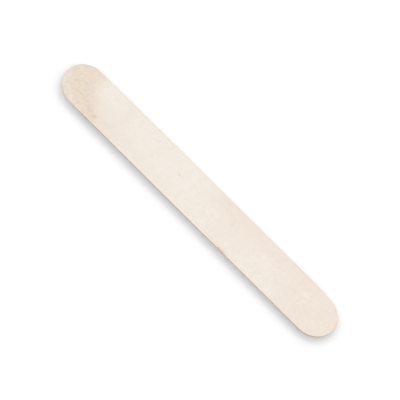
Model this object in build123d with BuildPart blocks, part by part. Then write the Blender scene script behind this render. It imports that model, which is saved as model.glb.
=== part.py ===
from build123d import *
import os

# A tongue depressor: one flat blade, die cut from birch veneer and then tumbled smooth.
# Sizes are in millimetres. The blade lies on its underside, with the origin at the middle
# of that face, +X along the blade, +Y across it and +Z up through its thickness.

# Driving dimensions of the blade
blade_length = 150.0
blade_width = 18.0
blade_thickness = 1.6

# Each end is half an ellipse, a little longer than half the width, so its shoulders are
# flatter than its tip. This is the distance from a tip to where the sides run straight.
end_length = 10.25

# Radii of the rims that the tumbling has worn round, the upper one more than the lower
upper_rim_radius = 0.35
lower_rim_radius = 0.25

# Where the straight sides stop, and how round a rim can be in this thickness
half_width = blade_width / 2
shoulder = blade_length / 2 - end_length
roundest_rim = 0.45 * blade_thickness

with BuildPart() as blade:
    # The outline that the die cuts through the veneer
    with BuildSketch(Plane.XY):
        with BuildLine():
            Line((-shoulder, -half_width), (shoulder, -half_width))
            EllipticalCenterArc((shoulder, 0), end_length, half_width, start_angle=-90, arc_size=180)
            Line((shoulder, half_width), (-shoulder, half_width))
            EllipticalCenterArc((-shoulder, 0), end_length, half_width, start_angle=90, arc_size=180)
        make_face()
    extrude(amount=blade_thickness)

    # The rims of both faces, worn round by the tumbling
    upper_face = blade.faces().sort_by(Axis.Z)[-1]
    fillet(upper_face.edges(), min(upper_rim_radius, roundest_rim))
    lower_face = blade.faces().sort_by(Axis.Z)[0]
    fillet(lower_face.edges(), min(lower_rim_radius, roundest_rim))

blade.part.label = "blade"

os.makedirs("parts", exist_ok=True)
export_step(blade.part, "parts/blade.step")
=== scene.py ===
"""A wooden tongue depressor, finished as pale birch on a white table under soft studio light.

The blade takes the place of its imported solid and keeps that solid's box. Its mesh adds what the
solid leaves out: the relief of the peeled fibres, rims that tumbling wore round unevenly, and
the texture of the side that the die cut. Sizes are in millimetres unless a name or a docstring
says otherwise, and meshes are written in metres.
"""

import logging
import math
from dataclasses import dataclass, field
from enum import Enum

import bpy
from mathutils import Matrix, Vector, noise
from mathutils.geometry import delaunay_2d_cdt


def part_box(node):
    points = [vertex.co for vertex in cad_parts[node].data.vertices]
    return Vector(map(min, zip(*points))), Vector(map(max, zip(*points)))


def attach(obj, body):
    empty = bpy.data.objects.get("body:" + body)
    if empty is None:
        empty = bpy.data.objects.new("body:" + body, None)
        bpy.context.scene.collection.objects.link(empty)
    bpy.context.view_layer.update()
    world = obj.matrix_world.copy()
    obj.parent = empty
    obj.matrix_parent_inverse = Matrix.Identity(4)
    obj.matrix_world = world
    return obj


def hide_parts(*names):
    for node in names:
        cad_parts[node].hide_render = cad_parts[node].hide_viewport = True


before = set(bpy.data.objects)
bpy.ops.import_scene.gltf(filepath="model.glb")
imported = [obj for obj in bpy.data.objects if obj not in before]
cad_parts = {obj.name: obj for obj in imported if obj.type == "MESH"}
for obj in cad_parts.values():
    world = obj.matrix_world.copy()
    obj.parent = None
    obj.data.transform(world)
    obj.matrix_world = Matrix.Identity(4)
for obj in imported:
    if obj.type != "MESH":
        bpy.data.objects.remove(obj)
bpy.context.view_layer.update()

LOG = logging.getLogger("tongue_depressor")
METRE = 1000.0
# The middle level of a grown pattern, which runs from 0 to 1.
PATTERN_MIDDLE = 0.5
# Where a dent starts to rise and where it ends, as shares of its mark's reach.
HOLLOW_EDGE = (0.2, 1.0)


class Tone(Enum):
    """Colours of the wood in white light, and of the light: red, green and blue, as sRGB levels."""

    PALE = (247, 238, 229)
    WARM = (243, 230, 217)
    TAN = (238, 223, 206)
    BLUSH = (237, 211, 190)
    TIP = (239, 230, 218)
    FLECK = (206, 184, 158)
    KNOT = (172, 138, 108)
    STAIN = (206, 172, 138)
    GREY = (206, 195, 182)
    BRIGHT = (251, 246, 240)
    CUT = (203, 194, 183)
    END_GRAIN = (203, 190, 174)
    WHITE = (255, 255, 255)
    DAYLIGHT = (251, 253, 255)
    LAMPLIGHT = (254, 252, 250)

    def linear(self) -> tuple[float, float, float, float]:
        """Return the tone as linear light, with full opacity."""
        red, green, blue = (srgb_to_linear(level / 255) for level in self.value)
        return red, green, blue, 1.0


def srgb_to_linear(level: float) -> float:
    """Turn one sRGB level into linear light.

    Args:
        level: The level as a picture stores it, 0 to 1.

    Returns:
        The share of linear light, 0 to 1.
    """
    if level <= 0.04045:
        return level / 12.92
    return ((level + 0.055) / 1.055) ** 2.4


def direction(azimuth: float, elevation: float) -> Vector:
    """Point from the middle of the table into the room.

    Args:
        azimuth: Where to, in degrees anticlockwise from the blade's length.
        elevation: How high, in degrees above the table.

    Returns:
        The direction, with length 1.
    """
    turn = math.radians(azimuth)
    rise = math.radians(elevation)
    level = math.cos(rise)
    return Vector((math.cos(turn) * level, math.sin(turn) * level, math.sin(rise)))


def smooth_step(low: float, high: float, value: float) -> float:
    """Rise smoothly from 0 to 1 between two values.

    Args:
        low: Where the rise starts.
        high: Where the rise ends.
        value: The value asked about.

    Returns:
        The height of the step at that value.
    """
    share = min(max((value - low) / (high - low), 0.0), 1.0)
    return share * share * (3 - 2 * share)


@dataclass(frozen=True)
class Ramp:
    """A smooth change from one value to another.

    Attributes:
        low: Where it starts.
        high: Where it ends.
        start: The value up to where it starts.
        end: The value from where it ends.
    """

    low: float
    high: float
    start: float = 0.0
    end: float = 1.0


@dataclass(frozen=True)
class Pattern:
    """A soft random pattern in the wood, 0 to 1 and mostly near one half.

    Attributes:
        size: Its size along the blade, across it and through it.
        seed: Sets it apart from the others.
        detail: How many finer layers it holds.
        twist: How far it is bent out of true.
    """

    size: tuple[float, float, float]
    seed: float
    detail: float = 2.0
    twist: float = 0.0


@dataclass(frozen=True)
class Coat:
    """A thin coat of one tone, which shows where a pattern runs high.

    Attributes:
        name: What it shows.
        tone: Its tone.
        pattern: The pattern.
        sets_in: How it sets in as the pattern rises.
        strength: How far it covers what is below it, 0 to 1, or how that goes from place to place.
    """

    name: str
    tone: Tone
    pattern: Pattern
    sets_in: Ramp
    strength: Ramp | float


@dataclass(frozen=True)
class Mark:
    """A small natural mark on one face of the blade.

    Attributes:
        name: What the mark is.
        x: Its place along the blade, from the middle.
        y: Its place across the blade.
        long: Half its length along the grain.
        wide: Half its width.
        tone: The colour that it turns to.
        strength: How far it turns to that colour, 0 to 1.
        hollow: How deep it lies in the face.
    """

    name: str
    x: float
    y: float
    long: float
    wide: float
    tone: Tone
    strength: float
    hollow: float = 0.0

    def depth_at(self, x: float, y: float) -> float:
        """Return how deep the mark is at a place on its face."""
        reach = math.hypot((x - self.x) / self.long, (y - self.y) / self.wide)
        return self.hollow * (1 - smooth_step(*HOLLOW_EDGE, reach))


@dataclass(frozen=True)
class Curl:
    """A curved band of the wood's figure, part of a ring.

    Attributes:
        name: What the band is.
        x: The ring's middle along the blade.
        y: The ring's middle across the blade.
        radius: The ring's radius.
        wide: Half the width of the band.
        facing: Where the band's middle lies on the ring, in degrees from the blade's length.
        spread: How far the band runs each way from there, in degrees.
        tone: The colour that it turns to.
        strength: How far it turns to that colour, 0 to 1.
    """

    name: str
    x: float
    y: float
    radius: float
    wide: float
    facing: float
    spread: float
    tone: Tone
    strength: float


UPPER_CURLS = (
    Curl("curl beside the tan end", -51.3, 1.2, 7.6, 1.3, -12.0, 72.0, Tone.GREY, 0.1),
    Curl("curl on the left", -41.3, 4.9, 16.0, 1.3, -10.0, 32.0, Tone.GREY, 0.04),
    Curl("pale curl by the speck", -40.1, 8.2, 33.0, 1.1, -12.0, 15.0, Tone.BRIGHT, 0.16),
    Curl("dull curl by the speck", -40.1, 8.2, 35.2, 1.0, -12.0, 12.0, Tone.GREY, 0.03),
)
UPPER_MARKS = (
    Mark("pin knot", -53.5, -6.2, 1.5, 1.1, Tone.KNOT, 0.28, 0.04),
    Mark("dash beside the knot", -53.9, -6.8, 0.9, 0.4, Tone.KNOT, 0.2, 0.02),
    Mark("brown shade beside the knot", -56.2, -5.6, 2.0, 1.1, Tone.KNOT, 0.1),
    Mark("warm patch below the knot", -54.8, -7.6, 2.4, 1.2, Tone.BLUSH, 0.5),
    Mark("blotch on the curl", -46.2, -4.5, 2.6, 1.4, Tone.GREY, 0.08),
    Mark("dark speck", -12.5, 1.4, 0.5, 0.36, Tone.KNOT, 0.4, 0.03),
    Mark("halo of the speck", -12.3, 1.4, 2.8, 0.8, Tone.GREY, 0.12),
    Mark("dull spot left of the speck", -22.5, -4.5, 1.3, 1.0, Tone.GREY, 0.1),
    Mark("dull spot below the speck", -18.0, -5.7, 1.5, 0.9, Tone.GREY, 0.1),
    Mark("dull cross streak", -12.4, -5.3, 0.9, 3.2, Tone.GREY, 0.05),
    Mark("dull spot in the middle", 3.6, -0.7, 1.2, 1.0, Tone.GREY, 0.13),
    Mark("fainter end of that spot", 5.3, -2.7, 1.2, 1.0, Tone.GREY, 0.09),
    Mark("dark streak", 9.8, 7.4, 3.8, 0.9, Tone.GREY, 0.12, 0.01),
    Mark("dark cross streak", 16.4, 2.5, 1.4, 2.6, Tone.GREY, 0.21),
    Mark("fainter end of the cross streak", 15.5, -2.5, 1.1, 4.5, Tone.GREY, 0.04),
    Mark("stain on the rim", 20.8, -8.7, 3.2, 0.8, Tone.STAIN, 0.5, 0.02),
    Mark("warm stretch beside the stain", 16.4, -8.5, 3.4, 1.1, Tone.BLUSH, 0.3),
    Mark("warm stretch beside the tan end", -47.0, 0.0, 11.0, 14.0, Tone.WARM, 0.26),
    Mark("dull stretch on the near side", -34.0, -6.5, 15.0, 5.0, Tone.GREY, 0.05),
    Mark("warm stretch on the far side", 24.0, 7.5, 8.0, 4.0, Tone.TAN, 0.16),
    Mark("warm stretch in the middle", 6.3, 1.5, 4.5, 2.8, Tone.WARM, 0.25),
    Mark("warm cross stretch", 14.5, -2.0, 4.5, 9.0, Tone.WARM, 0.4),
    Mark("faint streak", 52.7, 0.5, 3.8, 0.9, Tone.GREY, 0.14),
    Mark("warm stretch", 23.0, 4.0, 11.0, 12.0, Tone.WARM, 0.55),
    Mark("pale patch", 57.6, 2.8, 2.4, 1.4, Tone.BRIGHT, 0.27),
    Mark("pale patch by the tan end", -55.5, 6.6, 2.6, 1.4, Tone.BRIGHT, 0.12),
)
LOWER_MARKS = (
    Mark("pin knot seen from below", -53.3, -5.8, 1.0, 0.8, Tone.KNOT, 0.45, 0.04),
    Mark("grey streak", 31.0, -3.1, 7.0, 0.6, Tone.GREY, 0.22, 0.01),
    Mark("pale patch", -12.0, 4.0, 5.0, 1.6, Tone.BRIGHT, 0.3),
)


class Layer(Enum):
    """Layers of a peeled face's relief."""

    WAVES = 0
    FIBRES = 1
    FURROWS = 2


@dataclass(frozen=True)
class Relief:
    """How deep a peeled face of veneer lies below its highest fibres.

    Attributes:
        seed: Sets one face's pattern apart from the other's.
        marks: The marks on the face, some of which are hollow.
        wave: Depth of the long low waves that the peeling knife leaves.
        wave_size: Their size along and across the grain.
        fibre: Depth of the fine ridges between fibres.
        fibre_size: Their size along and across the grain.
        furrow: Depth of the open furrows of the birch's vessels.
        furrow_size: Their size along and across the grain.
        furrow_opens: The pattern's values between which a furrow opens.
        layer_gap: How far apart the layers are read, so that no two are alike.
    """

    seed: float
    marks: tuple[Mark, ...]
    wave: float = 0.012
    wave_size: tuple[float, float] = (24.0, 4.5)
    fibre: float = 0.005
    fibre_size: tuple[float, float] = (9.0, 0.6)
    furrow: float = 0.02
    furrow_size: tuple[float, float] = (2.6, 0.26)
    furrow_opens: tuple[float, float] = (0.28, 0.62)
    layer_gap: float = 7.3

    def swell(self, layer: Layer, size: tuple[float, float], x: float, y: float) -> float:
        """Read one layer of the pattern.

        Args:
            layer: Which layer it is.
            size: The pattern's size along and across the grain.
            x: Place along the blade.
            y: Place across the blade.

        Returns:
            A value from about -1 to 1.
        """
        level = self.seed + self.layer_gap * layer.value
        return noise.noise(Vector((x / size[0], y / size[1], level)))

    def furrow_at(self, x: float, y: float) -> float:
        """Return how open the furrows are at a place, 0 to 1."""
        return smooth_step(*self.furrow_opens, self.swell(Layer.FURROWS, self.furrow_size, x, y))

    def depth_at(self, x: float, y: float) -> float:
        """Return how deep the face lies at a place."""
        waves = 0.5 + 0.5 * self.swell(Layer.WAVES, self.wave_size, x, y)
        fibres = 0.5 + 0.5 * self.swell(Layer.FIBRES, self.fibre_size, x, y)
        furrows = self.furrow_at(x, y)
        hollows = sum(mark.depth_at(x, y) for mark in self.marks)
        return self.wave * waves + self.fibre * fibres + self.furrow * furrows + hollows


@dataclass(frozen=True)
class Station:
    """One place on the blade's outline.

    Attributes:
        x: Its place along the blade.
        y: Its place across the blade.
        out_x: The outward direction's part along the blade.
        out_y: The outward direction's part across the blade.
        lap: Its distance round the outline from the first station.
    """

    x: float
    y: float
    out_x: float
    out_y: float
    lap: float

    def inset(self, distance: float) -> tuple[float, float]:
        """Return the point that lies this far inside the outline."""
        return self.x - self.out_x * distance, self.y - self.out_y * distance


@dataclass(frozen=True)
class Outline:
    """The outline that the die cuts: two straight sides and two half-elliptical ends.

    Attributes:
        length: From tip to tip.
        width: Between the straight sides.
        end_length: From a tip to where the sides run straight.
    """

    length: float
    width: float
    end_length: float

    @property
    def half_width(self) -> float:
        """Half the width."""
        return self.width / 2

    @property
    def shoulder(self) -> float:
        """Where the straight sides stop, from the middle."""
        return self.length / 2 - self.end_length

    def depth_inside(self, x: float, y: float) -> float:
        """Measure how far inside the outline a point lies.

        Args:
            x: Place along the blade.
            y: Place across the blade.

        Returns:
            The distance to the outline, below 0 outside it, nearly exact close to it.
        """
        past = abs(x) - self.shoulder
        if past <= 0:
            return self.half_width - abs(y)
        share = math.hypot(past / self.end_length, y / self.half_width)
        slope = math.hypot(past / self.end_length**2, y / self.half_width**2) / share
        return (1 - share) / slope

    def stations(self, side_step: float, end_count: int) -> list[Station]:
        """Walk once round the outline, anticlockwise seen from above.

        Args:
            side_step: Distance between stations on the straight sides.
            end_count: Number of stations on each rounded end.

        Returns:
            The stations in order, the last one a step short of the first.
        """
        stations: list[Station] = []

        def walk_to(x: float, y: float, out_x: float, out_y: float) -> None:
            """Add a station, with the distance walked so far."""
            last = stations[-1] if stations else None
            lap = last.lap + math.dist((x, y), (last.x, last.y)) if last else 0.0
            stations.append(Station(x, y, out_x, out_y, lap))

        side_count = round(2 * self.shoulder / side_step)
        for facing in (1, -1):
            for step in range(side_count):
                along = facing * self.shoulder * (2 * step / side_count - 1)
                walk_to(along, -facing * self.half_width, 0.0, -facing)
            for step in range(end_count):
                angle = math.pi * (step / end_count - 0.5)
                out_x = facing * math.cos(angle) / self.end_length
                out_y = facing * math.sin(angle) / self.half_width
                size = math.hypot(out_x, out_y)
                x = facing * (self.shoulder + self.end_length * math.cos(angle))
                walk_to(x, facing * self.half_width * math.sin(angle), out_x / size, out_y / size)
        return stations


@dataclass(frozen=True)
class Wear:
    """A place on the outline that tumbling wore flatter than the die cut it.

    Attributes:
        x: Its place along the blade, from the middle.
        y: Its place across the blade.
        reach: How far the wear runs from there.
        depth: How deep it is in its middle.
    """

    x: float
    y: float
    reach: float
    depth: float

    def depth_at(self, x: float, y: float) -> float:
        """Return how much of the blade is worn away at a place on its outline."""
        away = math.dist((x, y), (self.x, self.y))
        return self.depth * (1 - smooth_step(0.0, self.reach, away))


@dataclass(frozen=True)
class Rim:
    """The rounding that tumbling wore between a face and the side.

    Attributes:
        radius: Its mean radius.
        seed: Sets its unevenness apart from the other rim's.
        stray: How far the radius strays from its mean, as a share.
        swells: For each layer of the unevenness, its size round the outline, share and seed.
    """

    radius: float
    seed: float
    stray: float = 0.25
    swells: tuple[tuple[float, float, float], ...] = ((7.0, 0.7, 0.0), (1.9, 0.3, 4.0))

    def radius_at(self, station: Station) -> float:
        """Return the radius at one station, where tumbling wore it more or less."""
        uneven = sum(share * noise.noise(Vector((station.lap / size, self.seed, layer_seed)))
                     for size, share, layer_seed in self.swells)
        return self.radius * (1 + self.stray * uneven)


@dataclass(frozen=True)
class Crush:
    """The crushing and tearing that the die left on the side.

    Attributes:
        depth: How deep it can be.
        mean: How deep it is on the whole, as a share of that.
        swells: For each layer of it, its size round the outline and up the side, share and seed.
    """

    depth: float = 0.02
    mean: float = 0.5
    swells: tuple[tuple[float, float, float, float], ...] = (
        (1.1, 0.5, 0.3, 21.0), (5.0, 2.0, 0.2, 33.0),
    )

    def depth_at(self, station: Station, height: float) -> float:
        """Return how deep the side is crushed at one station and height."""
        uneven = sum(share * noise.noise(Vector((station.lap / round_size, height / up_size, seed)))
                     for round_size, up_size, share, seed in self.swells)
        return self.depth * (self.mean + uneven)


@dataclass
class Draft:
    """A piece's mesh while it is being made.

    Attributes:
        points: Places of its vertices.
        faces: Vertex numbers of each face.
        rim: For each vertex, 0 on a face of the blade to 1 on its side.
        end_grain: For each vertex, how squarely its side cuts across the fibres, 0 to 1.
        furrow: For each vertex, how open a furrow it lies in, 0 to 1.
    """

    points: list[Vector] = field(default_factory=list)
    faces: list[tuple[int, ...]] = field(default_factory=list)
    rim: list[float] = field(default_factory=list)
    end_grain: list[float] = field(default_factory=list)
    furrow: list[float] = field(default_factory=list)

    def add(
        self, point: Vector, rim: float = 0.0, end_grain: float = 0.0, furrow: float = 0.0
    ) -> int:
        """Add one vertex.

        Args:
            point: Its place.
            rim: How far round the rim it lies.
            end_grain: How squarely the side there cuts across the fibres.
            furrow: How open a furrow it lies in.

        Returns:
            The vertex's number.
        """
        self.points.append(point)
        self.rim.append(rim)
        self.end_grain.append(end_grain)
        self.furrow.append(furrow)
        return len(self.points) - 1

    def finished(self, name: str) -> bpy.types.Object:
        """Make the piece.

        Args:
            name: The piece's name.

        Returns:
            The piece, in the scene and shaded smooth.
        """
        mesh = bpy.data.meshes.new(name)
        mesh.from_pydata([point / METRE for point in self.points], [], self.faces)
        for label in ("rim", "end_grain", "furrow"):
            values = mesh.attributes.new(label, "FLOAT", "POINT")
            values.data.foreach_set("value", getattr(self, label))
        mesh.shade_smooth()
        piece = bpy.data.objects.new(name, mesh)
        bpy.context.scene.collection.objects.link(piece)
        return piece


@dataclass
class Field:
    """A value that varies over the wood, carried by a socket of a finish's nodes.

    Attributes:
        tree: The finish's nodes.
        socket: The socket that carries the value.
    """

    tree: bpy.types.NodeTree
    socket: bpy.types.NodeSocket

    def combine(self, operation: str, *others: "Field | float") -> "Field":
        """Combine this field with others in one arithmetic step.

        Args:
            operation: The step's name, as the Math node has it.
            others: The step's other values.

        Returns:
            The combined field.
        """
        node = self.tree.nodes.new("ShaderNodeMath")
        node.operation = operation
        self.tree.links.new(self.socket, node.inputs[0])
        for place, other in enumerate(others, start=1):
            if isinstance(other, Field):
                self.tree.links.new(other.socket, node.inputs[place])
            else:
                node.inputs[place].default_value = other
        return Field(self.tree, node.outputs["Value"])

    def __add__(self, other: "Field | float") -> "Field":
        """Add a field or a number."""
        return self.combine("ADD", other)

    def __sub__(self, other: "Field | float") -> "Field":
        """Subtract a field or a number."""
        return self.combine("SUBTRACT", other)

    def __mul__(self, other: "Field | float") -> "Field":
        """Multiply by a field or a number."""
        return self.combine("MULTIPLY", other)

    def __truediv__(self, other: "Field | float") -> "Field":
        """Divide by a field or a number."""
        return self.combine("DIVIDE", other)

    def larger(self, other: "Field | float") -> "Field":
        """Return the larger of this field and another."""
        return self.combine("MAXIMUM", other)

    def step(self, ramp: Ramp) -> "Field":
        """Go smoothly from one value to another as this field rises.

        Args:
            ramp: The change.

        Returns:
            The smooth step.
        """
        node = self.tree.nodes.new("ShaderNodeMapRange")
        node.interpolation_type = "SMOOTHSTEP"
        self.tree.links.new(self.socket, node.inputs["Value"])
        node.inputs["From Min"].default_value = ramp.low
        node.inputs["From Max"].default_value = ramp.high
        node.inputs["To Min"].default_value = ramp.start
        node.inputs["To Max"].default_value = ramp.end
        return Field(self.tree, node.outputs["Result"])


@dataclass
class WoodMap:
    """Places in the wood, in millimetres, from which a finish takes its patterns.

    Attributes:
        tree: The finish's nodes.
        ragged_by: How far a mark's edge strays, as a share of its size.
        spot_edge: Where a spot starts to fade and where it ends, as shares of its size.
        band_edge: The same for a curl, as shares of its width.
        band_end: Where a curl ends and where it starts to fade, as shares of its run.
        seed_step: The way between the places of two patterns whose seeds are 1 apart.
    """

    tree: bpy.types.NodeTree
    ragged_by: float = 1.2
    spot_edge: tuple[float, float] = (0.25, 1.1)
    band_edge: tuple[float, float] = (0.1, 1.2)
    band_end: tuple[float, float] = (1.2, 0.7)
    seed_step: tuple[float, float, float] = (3.7, 1.9, 5.3)

    def __post_init__(self) -> None:
        """Set up the place and its three parts."""
        source = self.tree.nodes.new("ShaderNodeTexCoord")
        scaled = self.tree.nodes.new("ShaderNodeVectorMath")
        scaled.operation = "SCALE"
        scaled.inputs["Scale"].default_value = METRE
        self.tree.links.new(source.outputs["Object"], scaled.inputs[0])
        self.place = scaled.outputs["Vector"]
        parts = self.tree.nodes.new("ShaderNodeSeparateXYZ")
        self.tree.links.new(self.place, parts.inputs[0])
        self.x, self.y, self.z = (Field(self.tree, socket) for socket in parts.outputs)

    def grown(self, pattern: Pattern) -> Field:
        """Make a random pattern.

        Args:
            pattern: What it is like.

        Returns:
            The pattern's value at each place.
        """
        placed = self.tree.nodes.new("ShaderNodeMapping")
        self.tree.links.new(self.place, placed.inputs["Vector"])
        placed.inputs["Scale"].default_value = [1 / part for part in pattern.size]
        placed.inputs["Location"].default_value = [pattern.seed * step for step in self.seed_step]
        node = self.tree.nodes.new("ShaderNodeTexNoise")
        self.tree.links.new(placed.outputs["Vector"], node.inputs["Vector"])
        node.inputs["Scale"].default_value = 1.0
        node.inputs["Detail"].default_value = pattern.detail
        node.inputs["Distortion"].default_value = pattern.twist
        return Field(self.tree, node.outputs[0])

    def coat(self, coat: Coat, measure: Field | None = None) -> Field:
        """Show where a coat lies.

        Args:
            coat: The coat.
            measure: What its strength goes by, or None for the place along the blade.

        Returns:
            How far the coat covers what is below it, 0 to 1.
        """
        shown = self.grown(coat.pattern).step(coat.sets_in)
        if isinstance(coat.strength, Ramp):
            return shown * (measure or self.x).step(coat.strength)
        return shown * coat.strength

    def stored(self, label: str) -> Field:
        """Return a value that the mesh stores at its vertices."""
        node = self.tree.nodes.new("ShaderNodeAttribute")
        node.attribute_name = label
        return Field(self.tree, node.outputs["Fac"])

    def spot(self, mark: Mark, ragged: Field) -> Field:
        """Show where a mark lies.

        Args:
            mark: The mark.
            ragged: The pattern that makes its edge uneven.

        Returns:
            The mark's strength in its middle, falling softly to 0 at its edge.
        """
        along = (self.x - mark.x) / mark.long
        across = (self.y - mark.y) / mark.wide
        reach = (along * along + across * across).combine("SQRT")
        frayed = reach + (ragged - PATTERN_MIDDLE) * self.ragged_by
        return frayed.step(Ramp(*self.spot_edge, mark.strength, 0.0))

    def band(self, curl: Curl, ragged: Field) -> Field:
        """Show where a curl of the figure lies.

        Args:
            curl: The curl.
            ragged: The pattern that makes its edges uneven.

        Returns:
            The curl's strength along its middle, falling softly to 0 at its edges and ends.
        """
        along = self.x - curl.x
        across = self.y - curl.y
        reach = (along * along + across * across).combine("SQRT")
        frayed = (reach - curl.radius) / curl.wide + (ragged - PATTERN_MIDDLE) * self.ragged_by
        turn = math.radians(curl.facing)
        towards = (along * math.cos(turn) + across * math.sin(turn)) / reach
        low, high = (math.cos(math.radians(curl.spread * share)) for share in self.band_end)
        shown = frayed.combine("ABSOLUTE").step(Ramp(*self.band_edge, curl.strength, 0.0))
        return shown * towards.step(Ramp(low, high))


@dataclass
class Palette:
    """A colour that is painted over, layer by layer.

    Attributes:
        tree: The finish's nodes.
        ground: The tone under all the layers.
        socket: The socket that carries the colour so far, or None before the first layer.
    """

    tree: bpy.types.NodeTree
    ground: Tone
    socket: bpy.types.NodeSocket | None = None

    def paint(self, name: str, tone: Tone, share: Field) -> None:
        """Lay a tone over the colour so far.

        Args:
            name: What the layer shows.
            tone: The tone.
            share: Where it shows and how strongly, 0 to 1.
        """
        node = self.tree.nodes.new("ShaderNodeMix")
        node.label = name
        node.data_type = "RGBA"
        self.tree.links.new(share.socket, node.inputs["Factor"])
        below = colour_socket(node.inputs, "A")
        if self.socket is None:
            below.default_value = self.ground.linear()
        else:
            self.tree.links.new(self.socket, below)
        colour_socket(node.inputs, "B").default_value = tone.linear()
        self.socket = colour_socket(node.outputs, "Result")

    def lay(self, coat: Coat, share: Field) -> None:
        """Lay a coat over the colour so far, where and as strongly as the share says."""
        self.paint(coat.name, coat.tone, share)


def colour_socket(sockets: bpy.types.bpy_prop_collection, name: str) -> bpy.types.NodeSocket:
    """Find the colour socket among a Mix node's sockets of one name.

    Args:
        sockets: The node's inputs or outputs.
        name: The name they share.

    Returns:
        The one that carries a colour.
    """
    return next(socket for socket in sockets if socket.name == name and socket.type == "RGBA")


@dataclass(frozen=True)
class BroadTones:
    """The broad changes of the wood's colour: warmer stretches, and the tan end with its tail.

    Attributes:
        drift: The slow pattern that makes the borders wander.
        far_end: The warmth towards the plain end, along the blade.
        far_end_drift: How far its border wanders.
        far_across: The warmth of the plain half's far side, across the blade.
        far_across_drift: How far that border wanders.
        far_along: The same warmth along the blade.
        far_along_drift: How far that border wanders.
        near_side: The faint warmth of the near side, across the blade.
        near_side_drift: How far its border wanders.
        figure: The faint bands of the peeled wood.
        tan_edge: Where the tan end stops on the blade's middle line.
        tan_slant: How far that edge moves towards the tip for each mm across the blade.
        tan_corner: Where, across the blade, that edge turns square to the blade.
        tan_drift: How far that edge wanders.
        tan_softness: How softly it ends on the middle line.
        tan_sharpens: How much sharper it grows for each mm towards the far side.
        tan_end: The tan end, over its edge.
        tail_along: The tan tail on the near side, along the blade.
        tail_across: The same, across the blade.
        patches: The pink patches of the tan end.
        tip: The paler tip of the tan end.
        tip_bow: How far the tip's border bends back, for each square mm off the middle line.
        tip_slant: How far it moves for each mm across the blade.
        tip_drift: How far it wanders.
        mottle: The fine mottle of the tan end.
    """

    drift: Pattern = Pattern((16.0, 3.5, 3.5), seed=1)
    far_end: Ramp = Ramp(36.0, 60.0, 0.0, 0.8)
    far_end_drift: float = 30.0
    far_across: Ramp = Ramp(0.5, 6.0)
    far_across_drift: float = 6.0
    far_along: Ramp = Ramp(-4.0, 14.0, 0.0, 0.8)
    far_along_drift: float = 20.0
    near_side: Ramp = Ramp(-7.0, -1.0, 0.14, 0.0)
    near_side_drift: float = 4.0
    figure: Coat = Coat("figure", Tone.WARM, Pattern((20.0, 5.0, 5.0), seed=2),
                        Ramp(0.42, 0.68), 0.24)
    tan_edge: float = -59.8
    tan_slant: float = 0.95
    tan_corner: float = 1.4
    tan_drift: float = 5.0
    tan_softness: float = 3.7
    tan_sharpens: float = 0.08
    tan_end: Ramp = Ramp(-1.2, 1.2, 0.92, 0.0)
    tail_along: Ramp = Ramp(-62.0, -32.0, 0.9, 0.0)
    tail_across: Ramp = Ramp(-8.0, 5.0, 1.0, 0.0)
    patches: Coat = Coat("pink patches", Tone.BLUSH, Pattern((4.5, 2.6, 2.6), seed=4, twist=0.6),
                         Ramp(0.48, 0.68), Ramp(-5.0, 3.0, 0.32, 0.0))
    tip: Ramp = Ramp(-74.6, -71.6, 0.8, 0.0)
    tip_bow: float = 0.12
    tip_slant: float = 0.5
    tip_drift: float = 4.0
    mottle: Coat = Coat("mottle", Tone.FLECK, Pattern((1.8, 1.6, 1.6), seed=3, detail=3),
                        Ramp(0.4, 0.68), Ramp(-4.0, 4.0, 0.26, 0.02))

    def paint(self, wood: WoodMap, palette: Palette) -> None:
        """Paint them.

        Args:
            wood: The places in the wood.
            palette: The colour so far.
        """
        drift = wood.grown(self.drift) - PATTERN_MIDDLE
        far_end = (wood.x + drift * self.far_end_drift).step(self.far_end)
        far_across = (wood.y + drift * self.far_across_drift).step(self.far_across)
        far_along = (wood.x + drift * self.far_along_drift).step(self.far_along)
        near_side = (wood.y + drift * self.near_side_drift).step(self.near_side)
        palette.paint("far end and side", Tone.WARM, far_end.larger(far_across * far_along))
        palette.paint("near side", Tone.WARM, near_side)
        palette.lay(self.figure, wood.coat(self.figure))
        across = wood.y.combine("MINIMUM", self.tan_corner)
        beyond = wood.x - self.tan_edge + across * self.tan_slant + drift * self.tan_drift
        softness = wood.y * -self.tan_sharpens + self.tan_softness
        tail = wood.x.step(self.tail_along) * wood.y.step(self.tail_across)
        from_tip = wood.x - wood.y * wood.y * self.tip_bow + wood.y * self.tip_slant
        tip = (from_tip + drift * self.tip_drift).step(self.tip)
        palette.paint("tan end", Tone.TAN, (beyond / softness).step(self.tan_end))
        palette.paint("tan tail", Tone.TAN, tail)
        palette.lay(self.patches, wood.coat(self.patches, beyond))
        palette.paint("tip", Tone.TIP, tip)
        palette.lay(self.mottle, wood.coat(self.mottle, beyond))


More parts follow.
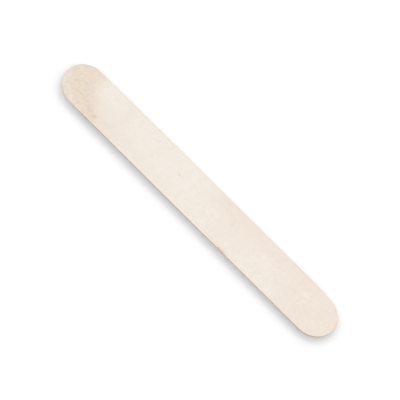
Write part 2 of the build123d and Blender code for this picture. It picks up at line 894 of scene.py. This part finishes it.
@dataclass(frozen=True)
class FineGrain:
    """The fine changes of the wood's colour, which the peeling knife lays bare, with painted shade
    in the open furrows and painted sheen over all.

    Attributes:
        coats: The clouds, ripples, fibres and vessels, from the lowest up.
        furrow_painted_shade: Painted shade: how dark the open furrows of the relief are painted, as
            shade falls in them.
        painted_sheen: Painted sheen: pale gleams painted into the colour, over all the rest.
    """

    coats: tuple[Coat, ...] = (
        Coat("clouds", Tone.WARM, Pattern((2.2, 2.8, 2.8), seed=14, detail=3, twist=0.5),
             Ramp(0.42, 0.64), Ramp(-8.0, 12.0, 0.18, 0.34)),
        Coat("ripples", Tone.FLECK, Pattern((1.0, 1.8, 1.8), seed=15, twist=0.4),
             Ramp(0.42, 0.68), Ramp(-8.0, 12.0, 0.05, 0.08)),
        Coat("fibres", Tone.FLECK, Pattern((14.0, 0.45, 0.45), seed=11, detail=3),
             Ramp(0.35, 0.7), 0.035),
        Coat("vessels", Tone.FLECK, Pattern((2.0, 0.11, 0.11), seed=12, detail=1),
             Ramp(0.6, 0.72), 0.13),
    )
    furrow_painted_shade: float = 0.1
    painted_sheen: Coat = Coat("painted_sheen", Tone.BRIGHT, Pattern((1.7, 1.4, 1.4), seed=13),
                        Ramp(0.48, 0.72), 0.14)

    def paint(self, wood: WoodMap, palette: Palette) -> None:
        """Paint them.

        Args:
            wood: The places in the wood.
            palette: The colour so far.
        """
        for coat in self.coats:
            palette.lay(coat, wood.coat(coat))
        # Painted shade: darker where the relief's furrows open, as shade falls in them.
        palette.paint("furrows", Tone.FLECK, wood.stored("furrow") * self.furrow_painted_shade)
        # Painted sheen: pale gleams painted over all the rest of the colour.
        palette.lay(self.painted_sheen, wood.coat(self.painted_sheen))


@dataclass(frozen=True)
class CutSide:
    """The colour of the side that the die cut, darker than the faces.

    Attributes:
        starts: Where the side starts, going round the rim.
        painted_light_at_tip: How much of its darkness is left, from the tan tip on: painted light,
            which makes the side paler towards the tan tip as if light fell on it there.
        cut_share: How dark the cut is.
        lines: The lines of the fibres in it.
        end_starts: Where the cut runs across the fibres, as it turns round an end.
        end_share: How dark the end grain is.
        pores: The open pores of the end grain.
    """

    starts: Ramp = Ramp(0.2, 0.8)
    painted_light_at_tip: Ramp = Ramp(-67.0, -55.0, 0.3, 1.0)
    cut_share: float = 0.82
    lines: Coat = Coat("lines", Tone.FLECK, Pattern((6.0, 0.3, 0.13), seed=51, detail=3),
                       Ramp(0.45, 0.7), 0.35)
    end_starts: Ramp = Ramp(0.15, 0.75)
    end_share: float = 0.35
    pores: Coat = Coat("pores", Tone.KNOT, Pattern((0.25, 0.16, 0.16), seed=52, detail=1),
                       Ramp(0.56, 0.72), 0.3)

    def paint(self, wood: WoodMap, palette: Palette) -> None:
        """Paint it.

        Args:
            wood: The places in the wood.
            palette: The colour so far.
        """
        side = wood.stored("rim").step(self.starts)
        # Painted light: the side's darkness fades towards the tan tip, as if light fell on the side
        # there.
        painted_light_at_tip = wood.x.step(self.painted_light_at_tip)
        ends = wood.stored("end_grain").step(self.end_starts) * side
        palette.paint("cut", Tone.CUT, side * painted_light_at_tip * self.cut_share)
        palette.lay(self.lines, wood.coat(self.lines) * side * painted_light_at_tip)
        palette.paint("end grain", Tone.END_GRAIN, ends * painted_light_at_tip * self.end_share)
        palette.lay(self.pores, wood.coat(self.pores) * ends)


@dataclass(frozen=True)
class BirchFinish:
    """Bare tumbled birch veneer: pale faces, one tan end, fine fibres and darker cut sides.

    Attributes:
        middle: Height of the blade's middle, which parts the marks of its two faces.
        fade: How far from there the marks of one face have gone.
        broad_tones: The broad changes of colour.
        fine_grain: The fine changes of colour.
        cut_side: The side's colour.
        spot_edges: The pattern that makes the edges of the marks uneven.
        curl_edges: The same for the curls.
        gloss: Strength of the reflection from the rubbed surface.
        rubbed: The pattern of its roughness.
        roughness: How the roughness goes with that pattern.
        side_roughness: How much rougher the side is.
        grain_height: Height of the finest grain, in metres.
        ridges: The finest grain's ridges.
        pores: The open pores of the end grain.
        pores_open: How they open as their pattern rises.
    """

    middle: float
    fade: float = 0.3
    broad_tones: BroadTones = BroadTones()
    fine_grain: FineGrain = FineGrain()
    cut_side: CutSide = CutSide()
    spot_edges: Pattern = Pattern((0.9, 0.45, 0.45), seed=21)
    curl_edges: Pattern = Pattern((2.0, 1.6, 1.6), seed=22)
    gloss: float = 0.35
    rubbed: Pattern = Pattern((1.6, 0.1, 0.1), seed=31, detail=3)
    roughness: Ramp = Ramp(0.3, 0.7, 0.5, 0.62)
    side_roughness: float = 0.12
    grain_height: float = 0.000012
    ridges: Pattern = Pattern((2.2, 0.12, 0.12), seed=41, detail=3)
    pores: Pattern = Pattern((0.35, 0.14, 0.14), seed=43)
    pores_open: Ramp = Ramp(0.5, 0.72)

    def material(self, name: str) -> bpy.types.Material:
        """Make the material.

        Args:
            name: The material's name.

        Returns:
            The material.
        """
        made = bpy.data.materials.new(name)
        made.use_nodes = True
        tree = made.node_tree
        shader = tree.nodes["Principled BSDF"]
        wood = WoodMap(tree)
        palette = Palette(tree, Tone.PALE)
        self.broad_tones.paint(wood, palette)
        self.fine_grain.paint(wood, palette)
        self.paint_marks(wood, palette)
        self.cut_side.paint(wood, palette)
        tree.links.new(palette.socket, shader.inputs["Base Color"])
        shader.inputs["Specular IOR Level"].default_value = self.gloss
        faces = wood.grown(self.rubbed).step(self.roughness)
        roughness = faces + wood.stored("rim") * self.side_roughness
        tree.links.new(roughness.socket, shader.inputs["Roughness"])
        bump = tree.nodes.new("ShaderNodeBump")
        bump.inputs["Distance"].default_value = self.grain_height
        tree.links.new(self.grain(wood).socket, bump.inputs["Height"])
        tree.links.new(bump.outputs["Normal"], shader.inputs["Normal"])
        return made

    def grain(self, wood: WoodMap) -> Field:
        """Return the height of the finest grain, too fine for the mesh."""
        open_ends = wood.grown(self.pores).step(self.pores_open) * wood.stored("end_grain")
        return wood.grown(self.ridges) - open_ends * wood.stored("rim")

    def paint_marks(self, wood: WoodMap, palette: Palette) -> None:
        """Paint the marks of both faces.

        Args:
            wood: The places in the wood.
            palette: The colour so far.
        """
        ragged = wood.grown(self.spot_edges)
        uneven = wood.grown(self.curl_edges)
        above = wood.z.step(Ramp(self.middle - self.fade, self.middle + self.fade))
        below = wood.z.step(Ramp(self.middle - self.fade, self.middle + self.fade, 1.0, 0.0))
        for curl in UPPER_CURLS:
            palette.paint(curl.name, curl.tone, wood.band(curl, uneven) * above)
        for marks, shown in ((UPPER_MARKS, above), (LOWER_MARKS, below)):
            for mark in marks:
                palette.paint(mark.name, mark.tone, wood.spot(mark, ragged) * shown)


@dataclass
class Blade:
    """The blade: one piece of peeled birch, die cut and tumbled smooth.

    Attributes:
        length: From tip to tip.
        width: Between the straight sides.
        thickness: Through the veneer.
        end_length: From a tip to where the sides run straight.
        upper_rim: The rim of the upper face.
        lower_rim: The rim of the lower face.
        worn_shoulder: Where the plain end's shoulder is worn flatter.
        crush: The crushing of the side.
        side_step: Distance between mesh rows along the straight sides.
        end_rows: Number of mesh rows round each end.
        rim_rows: Number of mesh rows over each rim.
        side_rows: Number of mesh rows down the side.
        upper_step: Distances along and across between points of the upper face's mesh.
        lower_step: The same on the lower face.
        upper_relief: The upper face's relief.
        lower_relief: The lower face's relief.
        same_place: Points closer together than this are taken for one.
    """

    length: float
    width: float
    thickness: float
    end_length: float = 10.25
    upper_rim: Rim = Rim(0.35, 1.0)
    lower_rim: Rim = Rim(0.25, 9.0)
    worn_shoulder: Wear = Wear(67.0, 8.2, 11.0, 0.45)
    crush: Crush = Crush()
    side_step: float = 0.4
    end_rows: int = 96
    rim_rows: int = 6
    side_rows: int = 5
    upper_step: tuple[float, float] = (0.5, 0.14)
    lower_step: tuple[float, float] = (1.0, 0.28)
    upper_relief: Relief = Relief(3.1, UPPER_MARKS)
    lower_relief: Relief = Relief(88.6, LOWER_MARKS)
    same_place: float = 1e-6

    @property
    def outline(self) -> Outline:
        """The outline that the die cuts."""
        return Outline(self.length, self.width, self.end_length)

    def section(self, station: Station) -> list[tuple[float, float, float]]:
        """Lay out the clean section of one station, from the upper face to the lower face.

        Args:
            station: The station.

        Returns:
            For each row, how far inside the outline it lies, its height and how squarely it
            faces up.
        """
        upper = self.upper_rim.radius_at(station)
        lower = self.lower_rim.radius_at(station)
        upright = self.thickness - upper - lower
        rows: list[tuple[float, float, float]] = []
        for row in range(self.rim_rows + 1):
            tilt = math.pi / 2 * (1 - row / self.rim_rows)
            height = self.thickness - upper * (1 - math.sin(tilt))
            rows.append((upper * (1 - math.cos(tilt)), height, math.sin(tilt)))
        for row in range(1, self.side_rows):
            rows.append((0.0, self.thickness - upper - upright * row / self.side_rows, 0.0))
        for row in range(self.rim_rows + 1):
            tilt = math.pi / 2 * row / self.rim_rows
            height = lower * (1 - math.sin(tilt))
            rows.append((lower * (1 - math.cos(tilt)), height, -math.sin(tilt)))
        return rows

    def add_section(self, draft: Draft, station: Station) -> list[int]:
        """Add the points of one station, worn, crushed and with the relief of its faces.

        Args:
            draft: The mesh in the making.
            station: The station.

        Returns:
            The numbers of its points, from the upper face over the side to the lower face.
        """
        worn = self.worn_shoulder.depth_at(station.x, station.y)
        numbers = []
        for inset, height, facing in self.section(station):
            relief = self.lower_relief if facing < 0 else self.upper_relief
            upright = math.sqrt(1 - facing**2)
            x, y = station.inset(inset + worn + self.crush.depth_at(station, height) * upright)
            point = Vector((x, y, height - facing * relief.depth_at(x, y)))
            furrow = abs(facing) * relief.furrow_at(x, y)
            numbers.append(draft.add(point, 1 - abs(facing), abs(station.out_x), furrow))
        return numbers

    def fill_face(
        self, draft: Draft, loop: list[int], height: float, facing: int, relief: Relief,
        step: tuple[float, float],
    ) -> None:
        """Fill a face inside its rim with points in rows, each at the depth of its relief.

        Args:
            draft: The mesh in the making.
            loop: The numbers of the rim's innermost points, in order.
            height: The height of the face.
            facing: 1 for the upper face, -1 for the lower.
            relief: The face's relief.
            step: Distances along and across between points.
        """
        numbers = list(loop)
        margin = self.upper_rim.radius * (1 + self.upper_rim.stray) + step[1] / 2
        rows = int(self.width / 2 / step[1])
        columns = int(self.length / 2 / step[0])
        for row in range(-rows, rows + 1):
            stagger = row % 2 / 2
            for column in range(-columns, columns + 1):
                x = (column + stagger) * step[0]
                y = row * step[1]
                if self.outline.depth_inside(x, y) > margin + self.worn_shoulder.depth_at(x, y):
                    point = Vector((x, y, height - facing * relief.depth_at(x, y)))
                    numbers.append(draft.add(point, furrow=relief.furrow_at(x, y)))
        flat = [draft.points[number].to_2d() for number in numbers]
        border = list(range(len(loop)))
        inside_border = 1
        result = delaunay_2d_cdt(flat, [], [border], inside_border, self.same_place)
        corners, triangles, sources = result[0], result[2], result[3]
        for triangle in triangles:
            first, second, third = (corners[corner] for corner in triangle)
            turn = (second - first).cross(third - first)
            ordered = triangle if turn * facing > 0 else triangle[::-1]
            draft.faces.append(tuple(numbers[sources[corner][0]] for corner in ordered))

    def build(self) -> bpy.types.Object:
        """Build the blade's mesh and dress it.

        Returns:
            The blade.
        """
        draft = Draft()
        stations = self.outline.stations(self.side_step, self.end_rows)
        sections = [self.add_section(draft, station) for station in stations]
        for this, following in zip(sections, sections[1:] + sections[:1]):
            for row in range(len(this) - 1):
                draft.faces.append((this[row], this[row + 1], following[row + 1], following[row]))
        upper_loop = [section[0] for section in sections]
        lower_loop = [section[-1] for section in sections]
        self.fill_face(draft, upper_loop, self.thickness, 1, self.upper_relief, self.upper_step)
        self.fill_face(draft, lower_loop, 0.0, -1, self.lower_relief, self.lower_step)
        piece = draft.finished("birch_blade")
        piece.data.materials.append(BirchFinish(self.thickness / 2).material("birch veneer"))
        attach(piece, "root")
        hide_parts("blade")
        LOG.info("%s: %d points, %d faces", piece.name, len(draft.points), len(draft.faces))
        return piece


@dataclass(frozen=True)
class WhiteTable:
    """The plain white table that the blade lies on. Sizes are in metres.

    Attributes:
        size: Length of its sides.
        drop: How far it lies below the blade, so that the two don't share a plane.
        white: The share of the light that it gives back.
    """

    size: float = 24.0
    drop: float = 0.00002
    white: float = 0.97

    def build(self) -> bpy.types.Object:
        """Build the table.

        Returns:
            The table, a separate object just below the blade.
        """
        half = self.size / 2
        mesh = bpy.data.meshes.new("white_table")
        corners = [(-half, -half, -self.drop), (half, -half, -self.drop),
                   (half, half, -self.drop), (-half, half, -self.drop)]
        mesh.from_pydata(corners, [], [(0, 1, 2, 3)])
        mesh.materials.append(self.material())
        table = bpy.data.objects.new("white_table", mesh)
        bpy.context.scene.collection.objects.link(table)
        LOG.info("white table: %.0f m square", self.size)
        return table

    def material(self) -> bpy.types.Material:
        """Make the table's matt white."""
        made = bpy.data.materials.new("white table")
        made.use_nodes = True
        tree = made.node_tree
        tree.nodes.clear()
        matt = tree.nodes.new("ShaderNodeBsdfDiffuse")
        matt.inputs["Color"].default_value = (self.white, self.white, self.white, 1.0)
        output = tree.nodes.new("ShaderNodeOutputMaterial")
        tree.links.new(matt.outputs["BSDF"], output.inputs["Surface"])
        return made


def seen_rays(tree: bpy.types.NodeTree) -> Field:
    """Tell the rays that show the room from those that light things.

    Args:
        tree: The nodes of the room.

    Returns:
        1 for a ray from the camera or one seen in gloss or through glass, otherwise 0.
    """
    rays = tree.nodes.new("ShaderNodeLightPath")
    kinds = ("Is Camera Ray", "Is Glossy Ray", "Is Transmission Ray")
    camera, glossy, through = (Field(tree, rays.outputs[kind]) for kind in kinds)
    return camera.larger(glossy).larger(through)


@dataclass(frozen=True)
class Softbox:
    """A rectangular studio lamp that points at the middle of the table.

    Attributes:
        name: The lamp's name.
        azimuth: Its direction, in degrees anticlockwise from the blade's length.
        elevation: Its height above the table, in degrees.
        distance: From the middle of the table, in metres.
        breadth: The angle that it spans sideways, in degrees.
        height: The angle that it spans upwards, in degrees.
        share: What it adds to a level surface, where a white room alone would give 1.
    """

    name: str
    azimuth: float
    elevation: float
    distance: float
    breadth: float
    height: float
    share: float

    def power(self) -> float:
        """Work out the power that gives the lamp its share, in watts."""
        half_breadth = math.tan(math.radians(self.breadth / 2))
        half_height = math.tan(math.radians(self.height / 2))
        # The light on a surface facing the lamp, as a share of what as bright a whole sky gives.
        filled = 0.0
        for near, far in ((half_breadth, half_height), (half_height, half_breadth)):
            slope = math.hypot(1.0, near)
            filled += 2 / math.pi * near / slope * math.atan(far / slope)
        area = 4 * half_breadth * half_height * self.distance**2
        return math.pi * area * self.share / (filled * math.sin(math.radians(self.elevation)))

    def hang(self, lit: bpy.types.Object) -> None:
        """Hang the lamp.

        Args:
            lit: The one thing that it lights; others still cast their shadows there.
        """
        data = bpy.data.lights.new(self.name, "AREA")
        data.shape = "RECTANGLE"
        data.size = 2 * self.distance * math.tan(math.radians(self.breadth / 2))
        data.size_y = 2 * self.distance * math.tan(math.radians(self.height / 2))
        data.energy = self.power()
        data.color = Tone.LAMPLIGHT.linear()[:3]
        lamp = bpy.data.objects.new(self.name, data)
        bpy.context.scene.collection.objects.link(lamp)
        away = direction(self.azimuth, self.elevation)
        lamp.location = away * self.distance
        lamp.rotation_mode = "QUATERNION"
        lamp.rotation_quaternion = away.to_track_quat("Z", "Y")
        lamp.visible_camera = False
        only = bpy.data.collections.new(f"lit by {self.name}")
        only.objects.link(lit)
        lamp.light_linking.receiver_collection = only
        LOG.info("%s: %.0f W", self.name, data.energy)


@dataclass(frozen=True)
class Studio:
    """Plain soft light: an even room, a long low bank of lamps, higher panels and one large softbox.

    Attributes:
        room: The brightness of the room, where 1 is white.
        bank_azimuth: Direction of the bank of lamps, in degrees anticlockwise from the blade.
        bank_share: What the bank adds to the table's light.
        bank_elevation: Height of the bank, in degrees.
        bank_panels: For each pair of its panels, the angle from the bank's middle and its height.
        panel_breadth: The angle that one panel spans, in degrees.
        bank_distance: From the table's middle to the bank, in metres.
        high_panels: For each higher panel, its angle from the bank's middle and its share.
        high_elevation: Height of the higher panels, in degrees.
        high_spread: The angles that each of them spans sideways and upwards, in degrees.
        key_azimuth: Direction of the large softbox, in degrees anticlockwise from the blade.
        key_share: What the large softbox adds to the blade's light.
        key_elevation: Height of the large softbox, in degrees.
        key_distance: From the table's middle to the large softbox, in metres.
        key_spread: The angle that the large softbox spans each way, in degrees.
    """

    room: float = 0.54
    bank_azimuth: float = 109.5
    bank_share: float = 0.34
    bank_elevation: float = 21.6
    bank_panels: tuple[tuple[float, float], ...] = ((15.0, 20.4), (45.0, 10.6), (75.0, 6.8))
    panel_breadth: float = 30.0
    bank_distance: float = 12.0
    high_panels: tuple[tuple[float, float], ...] = (
        (-120.0, 0.047), (-60.0, 0.038), (0.0, 0.034), (60.0, 0.039), (110.0, 0.033),
    )
    high_elevation: float = 38.0
    high_spread: tuple[float, float] = (60.0, 18.0)
    key_azimuth: float = 290.0
    key_share: float = 0.453
    key_elevation: float = 78.0
    key_distance: float = 2.5
    key_spread: float = 45.0

    def light(self, blade: bpy.types.Object, table: bpy.types.Object) -> None:
        """Light the blade and the table.

        Args:
            blade: The blade, lit by the large softbox.
            table: The table, lit by the bank and the higher panels, which draw the soft shadow.
        """
        self.light_room()
        whole = 2 * sum(height for _, height in self.bank_panels)
        for offset, height in self.bank_panels:
            for side in (-1, 1):
                name = f"bank panel {side * offset:+.0f}"
                panel = Softbox(name, self.bank_azimuth + side * offset, self.bank_elevation,
                                self.bank_distance, self.panel_breadth, height,
                                self.bank_share * height / whole)
                panel.hang(table)
        for offset, share in self.high_panels:
            high = Softbox(f"high panel {offset:+.0f}", self.bank_azimuth + offset,
                           self.high_elevation, self.bank_distance, *self.high_spread, share)
            high.hang(table)
        key = Softbox("large softbox", self.key_azimuth, self.key_elevation, self.key_distance,
                      self.key_spread, self.key_spread, self.key_share)
        key.hang(blade)

    def light_room(self) -> None:
        """Make the room: even light, and white where it is seen."""
        world = bpy.data.worlds.new("white room")
        bpy.context.scene.world = world
        world.use_nodes = True
        tree = world.node_tree
        back = tree.nodes["Background"]
        seen = seen_rays(tree)
        palette = Palette(tree, Tone.DAYLIGHT)
        palette.paint("seen room", Tone.WHITE, seen)
        tree.links.new(palette.socket, back.inputs["Color"])
        strength = seen * (1 - self.room) + self.room
        tree.links.new(strength.socket, back.inputs["Strength"])
        LOG.info("room: %.3f of white", self.room)


@dataclass(frozen=True)
class Camera:
    """The camera, nearly straight above the blade and a little to its near side.

    Attributes:
        azimuth: Its direction, in degrees anticlockwise from the blade's length.
        elevation: Its height above the table, in degrees.
        slant: How steeply the blade runs down to the right in the picture, in degrees.
        distance: From the blade's middle.
        span: What the picture's width takes in at the blade.
        picture: The picture's width, in pixels.
        right_by: How far right of the picture's middle the blade's middle shows, in pixels.
        down_by: How far below the picture's middle it shows, in pixels.
    """

    azimuth: float = -65.0
    elevation: float = 74.4
    slant: float = 44.7
    distance: float = 1000.0
    span: float = 160.37
    picture: int = 400
    right_by: float = -0.95
    down_by: float = -0.525

    def place(self, middle: Vector) -> None:
        """Set the camera up.

        Args:
            middle: The blade's middle.
        """
        data = bpy.data.cameras.new("camera")
        data.lens = data.sensor_width * self.distance / self.span
        back = direction(self.azimuth, self.elevation)
        along = Vector((1.0, 0.0, 0.0)) - back * back.x
        right = Matrix.Rotation(math.radians(self.slant), 3, back) @ along.normalized()
        up = back.cross(right)
        pixel = self.span / self.picture
        aim = middle + (up * self.down_by - right * self.right_by) * pixel
        camera = bpy.data.objects.new("camera", data)
        bpy.context.scene.collection.objects.link(camera)
        turned = Matrix((right, up, back)).transposed().to_4x4()
        camera.matrix_world = Matrix.Translation((aim + back * self.distance) / METRE) @ turned
        bpy.context.scene.camera = camera
        LOG.info("camera: %.1f mm lens", data.lens)


def main() -> None:
    """Build the blade and its surroundings in order."""
    logging.basicConfig(level=logging.INFO, format="%(name)s: %(message)s")
    bpy.context.scene.view_settings.view_transform = "Standard"
    low, high = (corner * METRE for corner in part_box("blade"))
    length, width, thickness = high - low
    blade = Blade(length, width, thickness).build()
    table = WhiteTable().build()
    Studio().light(blade, table)
    Camera().place((low + high) / 2)


if __name__ == "__main__":
    main()
